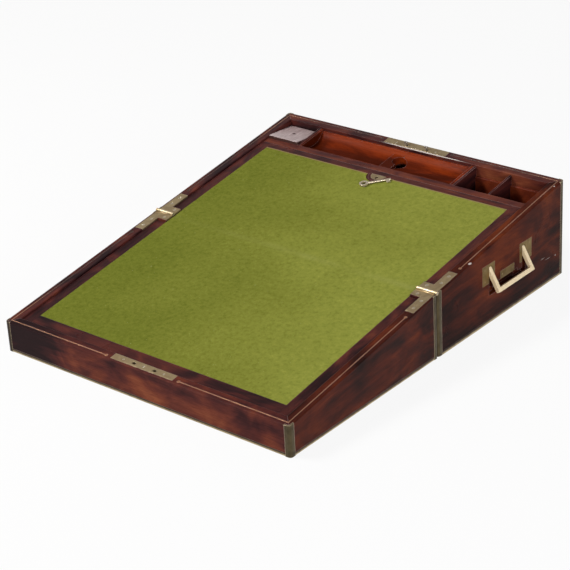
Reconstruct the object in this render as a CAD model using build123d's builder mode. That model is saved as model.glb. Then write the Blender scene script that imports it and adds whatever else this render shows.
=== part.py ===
from build123d import *
import os
from math import atan2, cos, radians, sin

# A mahogany campaign writing slope, bound in brass, open as one continuous wedge.
# The origin is on the table below the hinge line, midway between the sides.
# +X is the writer's right, +Y runs up the slope to the back wall, +Z is up.
# The lid is the half at -Y (low front edge), the base is the half at +Y.

# ---------------------------------------------------------------- carcass
box_width = 456.0
half_depth = 283.0  # hinge line to outer face of the end wall, each half
front_height = 41.0  # low edge of the lid
back_height = 132.0  # high edge of the base
wall = 15.0
panel = 8.0  # bottom boards
joint_gap = 0.2  # each half stands this far back from the hinge line
rim_gap = 0.1  # each rim lies this far below the hinge axis
arris = 1.2  # rounding of the rim's edges
fit_gap = 0.4  # loose woodwork in its housing

# ---------------------------------------------------------------- writing flaps
flap_recess = 2.5  # flaps, rail and dividers lie this far below the hinge axis
flap_thickness = 7.0
flap_border = 14.5  # bare wood beside the felt
flap_border_top = 10.5  # and above it
flap_border_bottom = 17.0  # and below it, on the lid
felt_thickness = 1.0
felt_proud = 0.2
ledge_width = 5.0
ledge_height = 8.0

# ---------------------------------------------------------------- compartments
well_depth = 50.392619  # rail to back wall
rail_width = 10.860527
floor_top = 79.4  # compartment floor above the table
floor_board = 5.0
divider = 3.0
ink_well = 52.0  # inner width of the lidded compartment
nib_well = 52.0
stamp_well = 55.5
tray_end = 4.0
tray_gap = 0.5
tray_drop = 2.0  # tray rims below the rail
tray_lip = 2.6  # wood beside the hollow
tray_sag = 10.0  # depth of the hollow
tray_floor = 5.0  # wood left under the hollow
tray_bearer = 4.0
finger_hole_radius = 10.0
finger_hole_x = -9.0
finger_hole_behind = 5.0  # behind the middle line of the tray
rest_length = 18.0
rest_height = 6.0  # block left standing in the hollow beside the finger hole
well_ledge = 3.0
well_ledge_wide = 6.0
well_ledge_drop = 15.0  # linings below the hinge axis plane

# ---------------------------------------------------------------- lidded compartment
ink_lid_thickness = 5.0
ink_lid_level = 9.0  # pivot below the hinge axis plane
ink_lid_gap = 0.6
ink_lid_ajar = 12.0  # degrees, as it stands
ink_lid_tail = 12.0  # from the pivot to its back edge
ink_lid_back_gap = 0.994719  # its back edge to the back wall, at the pivot's level
ink_knob_hole = 1.3
ink_pin_radius = 1.5
ink_pin_reach = 2.6  # into the lid
ink_pin_clearance = 0.06

# ---------------------------------------------------------------- brass binding
corner_leg = 8.0
corner_thickness = 2.0
corner_radius = 4.0
edge_leg = 4.5
edge_thickness = 1.2
string_width = 1.0
string_depth = 1.2
string_inset = 6.0  # from the outer faces
string_dot_radius = 2.0
string_hinge_stop = 57.0  # along the slope from the hinge line
string_lock_stop = 58.0  # from the middle of the box

# ---------------------------------------------------------------- hinges
leaf_inset = 2.5  # outer edge of a leaf inside the box side
leaf_arm = 12.5
leaf_length = 46.0
leaf_foot = 14.5  # short arm of the L along the slope
leaf_thickness = 2.0
knuckle_radius = 2.4
knuckle_gap = 0.2
hinge_pin_radius = 1.0
hinge_pin_clearance = 0.05
barrel_clearance = 0.35

# ---------------------------------------------------------------- screws
screw_head_radius = 2.2
screw_head_height = 1.6
screw_shank_radius = 1.1
screw_length = 9.0
small_screw_scale = 0.7
screw_clearance = 0.03

# ---------------------------------------------------------------- main lock
selvedge_length = 101.0
selvedge_width = 12.5
selvedge_thickness = 2.0
lock_case_length = 76.0
lock_case_height = 29.0
lock_case_thickness = 10.8
lock_case_inset = 2.0  # wood left behind the case
lock_line = 9.0  # middle of hooks and screws from the rim's outer edge
lock_screw_spacing = 65.0
hook_spacing = 33.0
hook_width = 2.6
hook_nose = 2.2  # overhang of the nose beyond the stem
hook_height = 5.5  # above the hinge axis plane
bolt_thickness = 2.6
bolt_bar = 5.0
bolt_bar_drop = 4.5  # top of the bar below the hinge axis plane
bolt_throw = 2.5
bolt_clearance = 0.25
talon_radius = 3.0
key_room_radius = 7.0
strike_width = 10.0
strike_length = 99.0
strike_thickness = 2.0
strike_setback = 4.0  # outer edge of the strike plate from the rim's outer edge
strike_clearance = 0.5
keyhole_radius = 2.0
keyhole_slot = 2.2
keyhole_drop = 6.0
escutcheon_width = 17.0
escutcheon_height = 25.0
escutcheon_thickness = 1.5

# ---------------------------------------------------------------- flap lock and key
flap_lock_x = -5.0
flap_lock_setback = 9.0  # straight edge of the plate from the rail
flap_lock_radius = 11.5
flap_lock_plate = 1.5
flap_notch_margin = 3.5  # bare wood between the plate and the felt
flap_keyhole = 2.0  # radius of its round end
flap_keyhole_up = 6.0  # below the straight edge
flap_keyhole_slot = 2.0
flap_case_width = 26.0
flap_case_length = 17.0
flap_case_height = 7.0
flap_case_setback = 4.0  # end of the case from the end of the flap
flap_case_wall = 1.5
flap_bolt_width = 9.0
flap_bolt_height = 3.0
flap_bolt_length = 12.0
flap_bolt_throw = 4.5
flap_bolt_gap = 0.3
key_bow_radius = 6.0
key_bow_hole = 3.4
key_bow_thickness = 2.4
key_shank_radius = 1.5
key_length = 36.0  # middle of the bow to the tip
key_bit_length = 5.0
key_bit_depth = 6.0
key_bit_thickness = 1.8
key_bit_setback = 1.5
key_collar_radius = 1.8
key_turn = 43.0  # degrees from +X towards the back
key_gap = 0.05  # from its collar to the felt
key_beside = -4.0  # middle of the bow to the right of the lock plate's middle
key_below = 29.0  # and below the plate's straight edge

# ---------------------------------------------------------------- carrying handles
handle_offset = 9.5  # middle of a handle behind the middle of its side
bail_width = 80.0
bail_reach = 33.0  # pivot to the outer face of the grip
bail_bar = 5.5
bail_thickness = 5.0
bail_ajar = 29.0  # degrees that the bails stand out
pivot_height = 73.5
pivot_inset = 3.0  # pivot behind the box side
pivot_radius = 1.5
pivot_clearance = 0.08
ear_width = 27.0
ear_height = 26.0
ear_top = 7.5  # above the pivot
ear_outer = 18.0  # from the middle of the arm outwards
ear_thickness = 2.0
ear_lug = 3.0
lug_radius = 4.0
arm_gap = 0.8
slot_depth = 7.0
grip_room = 3.0  # recess below the folded grip
cup_width = 31.0
cup_height = 10.5
cup_top = 12.5  # below the pivot
cup_thickness = 2.0
scoop_depth = 10.0  # finger room behind the folded grip
scoop_width = 46.0

# ---------------------------------------------------------------- worked out
half_width = box_width / 2
hinge_height = (front_height + back_height) / 2
tilt = atan2(back_height - hinge_height, half_depth)
inner_x = half_width - wall
inner_y = half_depth - wall
flap_half = inner_x - fit_gap
felt_half = flap_half - flap_border
horn_x = felt_half + fit_gap  # raised ends of the hinge-side walls start here
flap_bottom = flap_recess + flap_thickness

slope = Plane(origin=(0, 0, hinge_height), x_dir=(1, 0, 0), z_dir=(0, -sin(tilt), cos(tilt)))
rim = slope.offset(-rim_gap)
along_slope = Axis((0, 0, 0), (0, cos(tilt), sin(tilt)))


def on_slope(s, n=0.0):
    """The y and z of the point s up the slope from the hinge axis and n above it."""
    return (s * cos(tilt) - n * sin(tilt), hinge_height + s * sin(tilt) + n * cos(tilt))


def slope_at(y, n=0.0):
    """How far up the slope an upright face at y meets the level n."""
    return (y + n * sin(tilt)) / cos(tilt)


os.makedirs("parts", exist_ok=True)


def save(builder, name):
    """Label a finished piece and write it under its own name."""
    builder.part.label = name
    export_step(builder.part, f"parts/{name}.step")


def block(plane, x0, x1, y0, y1, z0, z1):
    """A block square to a plane, between limits along its own axes."""
    with BuildPart() as piece:
        with BuildSketch(plane.offset(z0)):
            with Locations(((x0 + x1) / 2, (y0 + y1) / 2)):
                Rectangle(x1 - x0, y1 - y0)
        extrude(amount=z1 - z0)
    return piece.part


def round_bar(plane, x0, x1, y, z, radius):
    """A round bar along a plane's own x axis."""
    with BuildPart() as bar:
        with BuildSketch(Plane(origin=plane.from_local_coords((x0, y, z)), z_dir=plane.x_dir)):
            Circle(radius)
        extrude(amount=x1 - x0)
    return bar.part


def under(shape, plane):
    """The part of a shape that lies below a plane."""
    with BuildPart() as kept:
        add(shape)
        split(bisect_by=plane, keep=Keep.BOTTOM)
    return kept.part


def screws(plane, places, scale=1.0, clearance=0.0):
    """Countersunk screws with their heads flush in a plane, at its own x and y."""
    head = screw_head_radius * scale + clearance
    shank = screw_shank_radius * scale + clearance
    top = screw_head_height * scale
    length = screw_length * scale + clearance
    with BuildPart(plane) as group:
        with Locations(*places):
            Cone(shank, head, top, align=(Align.CENTER, Align.CENTER, Align.MAX))
            Cylinder(shank, length, align=(Align.CENTER, Align.CENTER, Align.MAX))
    return group.part


# ================================================================ brass binding
def corner_strip(corner_x, corner_y, out_x, out_y, rounded=True):
    """Upright angle strip on an outer corner; the plain one is the rebate cut for it."""
    with BuildPart() as strip:
        with BuildSketch():
            with Locations((corner_x - out_x * corner_leg / 2, corner_y - out_y * corner_leg / 2)):
                Rectangle(corner_leg, corner_leg)
            if rounded:
                fillet(vertices().sort_by_distance((corner_x, corner_y))[0], corner_radius)
            inside = (corner_leg + corner_thickness) / 2
            with Locations((corner_x - out_x * inside, corner_y - out_y * inside)):
                Rectangle(corner_leg - corner_thickness, corner_leg - corner_thickness, mode=Mode.SUBTRACT)
        extrude(amount=back_height + wall)
        split(bisect_by=rim, keep=Keep.BOTTOM)
    return strip.part


def edge_strip(half, out_x, out_y, rounded=True):
    """Angle strip along one bottom edge of a half, between its corner strips."""
    middle_y = half * (half_depth + joint_gap) / 2
    reach_y = (half_depth - joint_gap) / 2
    run_x, run_y = out_y, -out_x
    length = 2 * (abs(run_x) * half_width + abs(run_y) * reach_y) - 2 * corner_leg
    start = (
        out_x * half_width - run_x * length / 2,
        middle_y + out_y * reach_y - run_y * length / 2,
        0,
    )
    with BuildPart() as strip:
        with BuildSketch(Plane(origin=start, x_dir=(out_x, out_y, 0), z_dir=(run_x, run_y, 0))):
            with Locations((-edge_leg / 2, edge_thickness / 2)):
                Rectangle(edge_leg, edge_thickness)
            with Locations((-edge_thickness / 2, edge_leg / 2)):
                Rectangle(edge_thickness, edge_leg)
            if rounded:
                fillet(vertices().sort_by_distance(start)[0], edge_thickness * 0.9)
        extrude(amount=length)
    return strip.part


def corners_of(half, rounded=True):
    """The four corner strips of a half: half is -1 for the lid and 1 for the base."""
    near = half * joint_gap
    far = half * half_depth
    return [
        corner_strip(out_x * half_width, y, out_x, out_y, rounded)
        for out_x in (-1, 1)
        for y, out_y in ((near, -half), (far, half))
    ]


def edges_of(half, rounded=True):
    """The four bottom edge strips of a half."""
    return [edge_strip(half, out_x, out_y, rounded) for out_x, out_y in ((1, 0), (-1, 0), (0, 1), (0, -1))]


# ================================================================ stringing let into the rims
string_x = half_width - string_inset
string_end_s = half_depth / cos(tilt) - string_inset


def stringing(half):
    """Brass lines in the rim of one half, mitred at the far corners and ended by round studs."""
    side_length = string_end_s - string_hinge_stop + string_width / 2
    end_length = string_x - string_lock_stop + string_width / 2
    with BuildPart() as lines:
        for side in (-1, 1):
            with BuildSketch(rim.offset(-string_depth)):
                with Locations((side * string_x, half * (string_hinge_stop + side_length / 2))):
                    Rectangle(string_width, side_length)
                with Locations((side * (string_lock_stop + end_length / 2), half * string_end_s)):
                    Rectangle(end_length, string_width)
                with Locations(
                    (side * string_x, half * string_hinge_stop),
                    (side * string_lock_stop, half * string_end_s),
                ):
                    Circle(string_dot_radius)
            extrude(amount=string_depth)
    return lines.part


# ================================================================ hinges
leaf_outer = half_width - leaf_inset
leaf_inner = leaf_outer - leaf_arm
foot_inner = horn_x
barrel_outer = half_width - rim_gap
barrel_room = knuckle_radius + barrel_clearance
knuckle_length = (barrel_outer - foot_inner - 2 * knuckle_gap) / 3
leaf_screw_x = (leaf_outer + leaf_inner) / 2
leaf_screws = (
    (leaf_screw_x, leaf_length - 9.0),
    (leaf_screw_x, leaf_length / 2 - 2.0),
    ((leaf_inner + foot_inner) / 2, leaf_foot - 4.5),
)


def knuckle_span(number):
    """Where one of a hinge's three knuckles lies across the box."""
    start = foot_inner + number * (knuckle_length + knuckle_gap)
    return (start, start + knuckle_length)


def hinge_leaves(half, mine, theirs):
    """Two L-shaped leaves with their knuckles; mine and theirs say which knuckles belong to whom."""
    with BuildPart() as leaves:
        with BuildSketch(rim.offset(-leaf_thickness)):
            Polygon(
                (foot_inner, 0),
                (leaf_outer, 0),
                (leaf_outer, half * leaf_length),
                (leaf_inner, half * leaf_length),
                (leaf_inner, half * leaf_foot),
                (foot_inner, half * leaf_foot),
                align=None,
            )
        extrude(amount=leaf_thickness)
        for number in theirs:
            x0, x1 = knuckle_span(number)
            notch = round_bar(slope, x0 - knuckle_gap, x1 + knuckle_gap, 0, 0, barrel_room)
            add(notch, mode=Mode.SUBTRACT)
        for number in mine:
            x0, x1 = knuckle_span(number)
            add(round_bar(slope, x0, x1, 0, 0, knuckle_radius))
        bore = hinge_pin_radius + hinge_pin_clearance
        add(round_bar(slope, 0, half_width, 0, 0, bore), mode=Mode.SUBTRACT)
        places = [(x, half * s, 0) for x, s in leaf_screws]
        add(screws(rim, places, clearance=screw_clearance), mode=Mode.SUBTRACT)
        mirror(about=Plane.YZ)
    return leaves


base_leaves = hinge_leaves(1, (0, 2), (1,))
save(base_leaves, "base_hinge_leaves")
lid_leaves = hinge_leaves(-1, (1,), (0, 2))
save(lid_leaves, "lid_hinge_leaves")

with BuildPart() as hinge_pins:
    add(round_bar(slope, foot_inner, barrel_outer, 0, 0, hinge_pin_radius))
    mirror(about=Plane.YZ)
save(hinge_pins, "hinge_pins")


def leaf_screw_places(half):
    """Both hinges' screws on the rim of one half."""
    return [(side * x, half * s, 0) for side in (-1, 1) for x, s in leaf_screws]


for half, half_name in ((-1, "lid"), (1, "base")):
    with BuildPart() as hinge_screws:
        add(screws(rim, leaf_screw_places(half)))
    save(hinge_screws, f"{half_name}_hinge_screws")


def hinge_housing(half, side):
    """The wood cut away for one leaf, its screws and the whole barrel."""
    with BuildPart() as housing:
        with BuildSketch(rim.offset(-leaf_thickness)):
            Polygon(
                (side * foot_inner, -half),
                (side * leaf_outer, -half),
                (side * leaf_outer, half * leaf_length),
                (side * leaf_inner, half * leaf_length),
                (side * leaf_inner, half * leaf_foot),
                (side * foot_inner, half * leaf_foot),
                align=None,
            )
        extrude(amount=leaf_thickness + wall)
        barrel_ends = sorted((side * (foot_inner - knuckle_gap), side * (half_width + wall)))
        add(round_bar(slope, *barrel_ends, 0, 0, barrel_room))
        places = [(side * x, half * s, 0) for x, s in leaf_screws]
        add(screws(rim, places, clearance=screw_clearance))
    return housing.part


for half, half_name in ((-1, "lid"), (1, "base")):
    with BuildPart() as corner_strips:
        add(corners_of(half))
        for side in (-1, 1):
            add(hinge_housing(half, side), mode=Mode.SUBTRACT)
    save(corner_strips, f"{half_name}_corner_strips")
    with BuildPart() as edge_strips:
        add(edges_of(half))
    save(edge_strips, f"{half_name}_edge_strips")
    with BuildPart() as string_lines:
        add(stringing(half))
    save(string_lines, f"{half_name}_stringing")


# ================================================================ main lock
rim_edge_s = slope_at(half_depth)
selvedge_s1 = rim_edge_s - (wall - selvedge_width) / 2
lock_s = rim_edge_s - lock_line
hook_xs = (-hook_spacing / 2, hook_spacing / 2)
bar_y = on_slope(lock_s, -bolt_bar_drop)[0]
bar_top = on_slope(lock_s, -bolt_bar_drop)[1]
bar_bottom = bar_top - bolt_bar
key_z = bar_bottom - key_room_radius + talon_radius
case_y1 = half_depth - lock_case_inset
case_top = rim.offset(-selvedge_thickness)
case_bottom = on_slope(lock_s, -selvedge_thickness)[1] - lock_case_height
lock_screw_places = [(side * lock_screw_spacing / 2, lock_s, 0) for side in (-1, 1)]
strike_screw_places = [(side * lock_screw_spacing / 2, -lock_s, 0) for side in (-1, 0, 1)]
strike_s0 = -rim_edge_s + strike_setback


def keyhole(y0, y1):
    """A keyhole cut through the back of the box: a round eye with a slot below it."""
    with BuildPart() as hole:
        with BuildSketch(Plane.XZ.offset(-y0)):
            with Locations((0, key_z)):
                Circle(keyhole_radius)
            with Locations((0, key_z - keyhole_drop / 2)):
                Rectangle(keyhole_slot, keyhole_drop)
        extrude(amount=y0 - y1)
    return hole.part


def bolt_body(clearance, travel):
    """The sliding bar with its two hooks; with a clearance and a travel it is their channel."""
    half_s = bolt_thickness / 2 + clearance
    stem = hook_width / 2 + clearance
    with BuildPart() as body:
        x0 = hook_xs[0] - stem
        x1 = hook_xs[1] + stem + travel
        bar_z = (bar_bottom - clearance, bar_top + clearance)
        add(block(Plane.XY, x0, x1, bar_y - half_s, bar_y + half_s, *bar_z))
        for x in hook_xs:
            stem_bottom = -bolt_bar_drop - bolt_bar / 2
            ends = (x - stem, x + stem + travel)
            add(block(slope, *ends, lock_s - half_s, lock_s + half_s, stem_bottom, hook_height))
    return body.part


with BuildPart() as lock_bolt:
    add(bolt_body(0, 0))
    for x in hook_xs:
        nose_end = x + hook_width / 2 + hook_nose
        nose_bottom = rim_gap + strike_thickness + strike_clearance
        half_s = bolt_thickness / 2
        add(block(slope, x, nose_end, lock_s - half_s, lock_s + half_s, nose_bottom, hook_height))
    fillet(edges().group_by(Axis.Z)[-1], hook_width / 4)
    with BuildSketch(Plane.XZ.offset(-bar_y + bolt_thickness)):
        with Locations((0, bar_bottom)):
            Circle(talon_radius)
    extrude(amount=-2 * bolt_thickness, mode=Mode.SUBTRACT)
save(lock_bolt, "lock_bolt")

with BuildPart() as lock_case:
    case_half = lock_case_length / 2
    case_y0 = case_y1 - lock_case_thickness
    add(under(block(Plane.XY, -case_half, case_half, case_y0, case_y1, case_bottom, back_height), case_top))
    add(bolt_body(bolt_clearance, bolt_throw), mode=Mode.SUBTRACT)
    with BuildSketch(Plane.XZ.offset(-bar_y + bolt_thickness / 2)):
        with Locations((0, key_z)):
            Circle(key_room_radius)
    extrude(amount=-bolt_thickness, mode=Mode.SUBTRACT)
    add(keyhole(bar_y, half_depth), mode=Mode.SUBTRACT)
    add(screws(rim, lock_screw_places, small_screw_scale, screw_clearance), mode=Mode.SUBTRACT)
save(lock_case, "lock_case")

with BuildPart() as lock_selvedge:
    half_length = selvedge_length / 2
    selvedge_ends = (selvedge_s1 - selvedge_width, selvedge_s1)
    add(block(slope, -half_length, half_length, *selvedge_ends, -selvedge_thickness - rim_gap, -rim_gap))
    add(bolt_body(bolt_clearance, bolt_throw), mode=Mode.SUBTRACT)
    add(screws(rim, lock_screw_places, small_screw_scale, screw_clearance), mode=Mode.SUBTRACT)
save(lock_selvedge, "lock_selvedge")

with BuildPart() as lock_screws:
    add(screws(rim, lock_screw_places, small_screw_scale))
save(lock_screws, "lock_screws")

def escutcheon_blank():
    """The oval plate let into the back round the keyhole."""
    with BuildPart() as blank:
        with BuildSketch(Plane.XZ.offset(-half_depth)):
            with Locations((0, key_z - keyhole_drop / 2)):
                Ellipse(escutcheon_width / 2, escutcheon_height / 2)
        extrude(amount=escutcheon_thickness)
    return blank.part


with BuildPart() as keyhole_escutcheon:
    add(escutcheon_blank())
    add(keyhole(case_y1, half_depth + wall), mode=Mode.SUBTRACT)
save(keyhole_escutcheon, "keyhole_escutcheon")


def hook_rooms(depth):
    """Round-ended holes that take the hooks when the box is shut, down to a depth."""
    with BuildPart() as rooms:
        with BuildSketch(slope.offset(-depth)):
            for x in hook_xs:
                with Locations((x + hook_nose / 2, -lock_s)):
                    reach = hook_width + hook_nose + 2 * strike_clearance
                    SlotOverall(reach, bolt_thickness + 3 * strike_clearance)
        extrude(amount=depth + wall)
    return rooms.part


with BuildPart() as strike_plate:
    half_length = strike_length / 2
    strike_ends = (strike_s0, strike_s0 + strike_width)
    add(block(slope, -half_length, half_length, *strike_ends, -strike_thickness - rim_gap, -rim_gap))
    add(hook_rooms(strike_thickness + wall), mode=Mode.SUBTRACT)
    add(screws(rim, strike_screw_places, small_screw_scale, screw_clearance), mode=Mode.SUBTRACT)
save(strike_plate, "strike_plate")

with BuildPart() as strike_screws:
    add(screws(rim, strike_screw_places, small_screw_scale))
save(strike_screws, "strike_screws")


def strike_mortise():
    """The wood cut out of the lid's front wall for the strike plate and the hooks behind it."""
    half_length = strike_length / 2
    pocket_end = hook_spacing / 2 + hook_width + hook_nose + bolt_throw + 2 * strike_clearance
    pocket_half = bolt_thickness / 2 + 2 * strike_clearance
    with BuildPart() as mortise:
        strike_ends = (strike_s0, strike_s0 + strike_width)
        add(block(slope, -half_length, half_length, *strike_ends, -strike_thickness - rim_gap, wall))
        pocket_bottom = -hook_height - 2 * strike_clearance
        pocket = (-pocket_end, pocket_end, -lock_s - pocket_half, -lock_s + pocket_half)
        add(block(slope, *pocket, pocket_bottom, 0))
        add(screws(rim, strike_screw_places, small_screw_scale, screw_clearance))
    return mortise.part


def lock_mortise():
    """The wood cut out of the back wall for the lock, its selvedge and its keyhole."""
    half_length = selvedge_length / 2
    case_half = lock_case_length / 2
    case_y0 = case_y1 - lock_case_thickness
    with BuildPart() as mortise:
        selvedge_ends = (selvedge_s1 - selvedge_width, selvedge_s1)
        add(block(slope, -half_length, half_length, *selvedge_ends, -selvedge_thickness - rim_gap, wall))
        add(block(Plane.XY, -case_half, case_half, case_y0, case_y1, case_bottom, back_height))
        add(screws(rim, lock_screw_places, small_screw_scale, screw_clearance))
        add(keyhole(case_y0, half_depth + wall))
        add(escutcheon_blank())
    return mortise.part


# ================================================================ carrying handles
handle_middle = half_depth / 2 + handle_offset
arm_x = (bail_width - bail_bar) / 2
arm_room = bail_bar / 2 + arm_gap
ear_bottom = ear_top - ear_height
cup_bottom = -cup_top - cup_height
slot_top = bail_thickness / 2 + arm_gap
slot_bottom = -bail_reach - grip_room


def handle_plane(side):
    """Outward plane of a handle: its x runs along the box, its y upwards, from the pivot height."""
    origin = (side * half_width, handle_middle, pivot_height)
    return Plane(origin=origin, x_dir=(0, side, 0), z_dir=(side, 0, 0))


def handle_slot(plane):
    """The U-shaped recess that takes the folded bail, with finger room behind its grip."""
    with BuildPart() as slot:
        for end in (-arm_x, arm_x):
            add(block(plane, end - arm_room, end + arm_room, slot_bottom, slot_top, -slot_depth, wall))
        grip_top = -bail_reach + bail_bar + arm_gap
        add(block(plane, -arm_x, arm_x, slot_bottom, grip_top, -slot_depth, wall))
        half_scoop = scoop_width / 2
        add(block(plane, -half_scoop, half_scoop, slot_bottom, cup_bottom, -scoop_depth, wall))
    return slot.part


def lug_bars(plane):
    """The two round lugs behind each ear plate, one on either side of the bail's arm."""
    with BuildPart() as lugs:
        for end in (-arm_x, arm_x):
            for start in (end - arm_room - ear_lug, end + arm_room):
                add(round_bar(plane, start, start + ear_lug, 0, -pivot_inset, lug_radius))
        above_lugs = block(plane, -bail_width, bail_width, -lug_radius, lug_radius, -ear_thickness, wall)
        add(above_lugs, mode=Mode.SUBTRACT)
    return lugs.part


def ear_plates(plane):
    """The two plates at the ends of a handle, without their lugs and screw holes."""
    with BuildPart() as plates:
        for out in (-1, 1):
            near = out * (arm_x - (ear_width - ear_outer))
            far = out * (arm_x + ear_outer)
            add(block(plane, min(near, far), max(near, far), ear_bottom, ear_top, -ear_thickness, 0))
    return plates.part


def pivot_bars(plane, radius):
    """The pins through lugs and arms."""
    reach = arm_room + ear_lug
    with BuildPart() as bars:
        for end in (-arm_x, arm_x):
            add(round_bar(plane, end - reach, end + reach, 0, -pivot_inset, radius))
    return bars.part


ear_screw_places = [
    (out * (arm_x + ear_outer - 5), y, 0) for out in (-1, 1) for y in (ear_top - 5, ear_bottom + 5)
]
cup_screw_places = [(out * (cup_width / 2 - 4), -cup_top - cup_height / 2, 0) for out in (-1, 1)]
handle_screw_places = ear_screw_places + cup_screw_places


def cup_plate(plane):
    """The plate above the finger room."""
    return block(plane, -cup_width / 2, cup_width / 2, cup_bottom, -cup_top, -cup_thickness, 0)


def handle_housing(side):
    """Everything cut out of a side for its handle."""
    plane = handle_plane(side)
    with BuildPart() as housing:
        add(handle_slot(plane))
        add(lug_bars(plane))
        add(ear_plates(plane))
        add(cup_plate(plane))
        add(pivot_bars(plane, pivot_radius))
        add(screws(plane, handle_screw_places, small_screw_scale, screw_clearance))
    return housing.part


def bail(plane):
    """A bail folded flat: a square bar bent into a U, round about its pivots."""
    with BuildPart() as bar:
        with BuildSketch(plane.offset(-pivot_inset - bail_thickness / 2)):
            with Locations((0, -bail_reach / 2)):
                Rectangle(bail_width, bail_reach)
            with Locations((0, -(bail_reach - bail_bar) / 2)):
                Rectangle(bail_width - 2 * bail_bar, bail_reach - bail_bar, mode=Mode.SUBTRACT)
        extrude(amount=bail_thickness)
        for end in (-arm_x, arm_x):
            half_bar = bail_bar / 2
            add(round_bar(plane, end - half_bar, end + half_bar, 0, -pivot_inset, bail_thickness / 2))
        corners = bar.edges().filter_by(Axis(plane.origin, plane.z_dir)).group_by(Axis.Z)[0]
        fillet(corners, bail_bar / 4)
        add(pivot_bars(plane, pivot_radius + pivot_clearance), mode=Mode.SUBTRACT)
    return bar.part


for side, side_name in ((1, "right"), (-1, "left")):
    plane = handle_plane(side)
    with BuildPart() as handle_ears:
        add(ear_plates(plane))
        add(lug_bars(plane))
        add(handle_slot(plane), mode=Mode.SUBTRACT)
        add(pivot_bars(plane, pivot_radius), mode=Mode.SUBTRACT)
        add(screws(plane, ear_screw_places, small_screw_scale, screw_clearance), mode=Mode.SUBTRACT)
    save(handle_ears, f"{side_name}_handle_ears")
    with BuildPart() as handle_cup:
        add(cup_plate(plane))
        add(screws(plane, cup_screw_places, small_screw_scale, screw_clearance), mode=Mode.SUBTRACT)
    save(handle_cup, f"{side_name}_handle_cup")
    with BuildPart() as handle_screws:
        add(screws(plane, handle_screw_places, small_screw_scale))
    save(handle_screws, f"{side_name}_handle_screws")
    with BuildPart() as bail_pins:
        add(pivot_bars(plane, pivot_radius))
    save(bail_pins, f"{side_name}_bail_pins")
    pivot = Axis(plane.from_local_coords((0, 0, -pivot_inset)), plane.x_dir)
    with BuildPart() as swung_bail:
        add(bail(plane).rotate(pivot, -bail_ajar))
    save(swung_bail, f"{side_name}_bail")


# ================================================================ walls and bottoms
def wall_board(*plan):
    """An upright board of a given plan, cut off along the rim, its rim edges rounded."""
    with BuildPart() as board:
        with BuildSketch():
            Polygon(*plan, align=None)
        extrude(amount=back_height + wall)
        split(bisect_by=rim, keep=Keep.BOTTOM)
    return board.part


def softened(board, direction):
    """A board with the edges of its rim that run along a direction rounded over."""
    with BuildPart() as soft:
        add(board)
        top = soft.faces().filter_by(slope).sort_by(Axis.Z)[-1]
        fillet(top.edges().filter_by(direction), arris)
    return soft.part


rail_y1 = inner_y - well_depth
rail_y0 = rail_y1 - rail_width
rail_front = slope_at(rail_y0, -flap_recess)
upper_far = slope_at(rail_y0 - fit_gap, -flap_recess)
case_s1 = upper_far - flap_case_setback
ink_x0 = -inner_x
ink_x1 = ink_x0 + ink_well
ink_back = slope_at(inner_y, -ink_lid_level) - ink_lid_back_gap
ink_pivot = ink_back - ink_lid_tail
seat = flap_bottom + rim_gap

for half, half_name in ((-1, "lid"), (1, "base")):
    near = half * joint_gap
    near_in = half * (wall + joint_gap)
    far = half * half_depth
    far_in = half * inner_y
    with BuildPart() as cutters:
        add(corners_of(half, rounded=False))
        add(edges_of(half, rounded=False))
        add(stringing(half))
        for side in (-1, 1):
            add(hinge_housing(half, side))
    for side, side_name in ((-1, "left"), (1, "right")):
        out = side * half_width
        inn = side * inner_x
        board = wall_board((out, near), (out, far), (inn, far_in), (inn, near_in))
        with BuildPart() as side_wall:
            add(softened(board, along_slope))
            add(cutters.part, mode=Mode.SUBTRACT)
            if half > 0:
                add(handle_housing(side), mode=Mode.SUBTRACT)
            if half > 0 and side < 0:
                pin_end = ink_x0 - ink_pin_reach
                add(
                    round_bar(slope, pin_end, ink_x0 + wall, ink_pivot, -ink_lid_level, ink_pin_radius),
                    mode=Mode.SUBTRACT,
                )
        save(side_wall, f"{half_name}_{side_name}_side")
    board = wall_board((-half_width, far), (half_width, far), (inner_x, far_in), (-inner_x, far_in))
    with BuildPart() as far_wall:
        add(softened(board, Axis.X))
        add(cutters.part, mode=Mode.SUBTRACT)
        add(lock_mortise() if half > 0 else strike_mortise(), mode=Mode.SUBTRACT)
    save(far_wall, "base_back_wall" if half > 0 else "lid_front_wall")
    with BuildPart() as hinge_wall:
        add(wall_board((-half_width, near), (half_width, near), (inner_x, near_in), (-inner_x, near_in)))
        add(block(slope, -horn_x, horn_x, -2 * wall, 2 * wall, -seat, wall), mode=Mode.SUBTRACT)
        add(cutters.part, mode=Mode.SUBTRACT)
    save(hinge_wall, "base_front_wall" if half > 0 else "lid_rear_wall")
    with BuildPart() as bottom:
        ends = sorted((near_in, far_in))
        add(block(Plane.XY, -inner_x, inner_x, *ends, 0, panel))
    save(bottom, f"{half_name}_bottom")
    ledge_start = slope_at(wall + joint_gap) + wall / 5
    ledge_stop = slope_at(rail_y0, -seat - ledge_height) if half > 0 else slope_at(inner_y, ledge_height)
    ledge_ends = sorted((half * ledge_start, half * (ledge_stop - fit_gap)))
    with BuildPart() as flap_ledges:
        for side in (-1, 1):
            ledge_x = sorted((side * inner_x, side * (inner_x - ledge_width)))
            add(block(slope, *ledge_x, *ledge_ends, -seat - ledge_height, -seat))
    save(flap_ledges, f"{half_name}_flap_ledges")


# ================================================================ compartments
rail_top = slope.offset(-flap_recess)
nib_x1 = inner_x - stamp_well
nib_x0 = nib_x1 - divider
tray_x1 = nib_x0 - nib_well
nib_wall_x = tray_x1 - divider
tray_bottom = flap_recess + tray_drop + tray_sag + tray_floor

with BuildPart() as compartment_floor:
    add(block(Plane.XY, -inner_x, inner_x, rail_y0, inner_y, floor_top - floor_board, floor_top))
save(compartment_floor, "compartment_floor")

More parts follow.
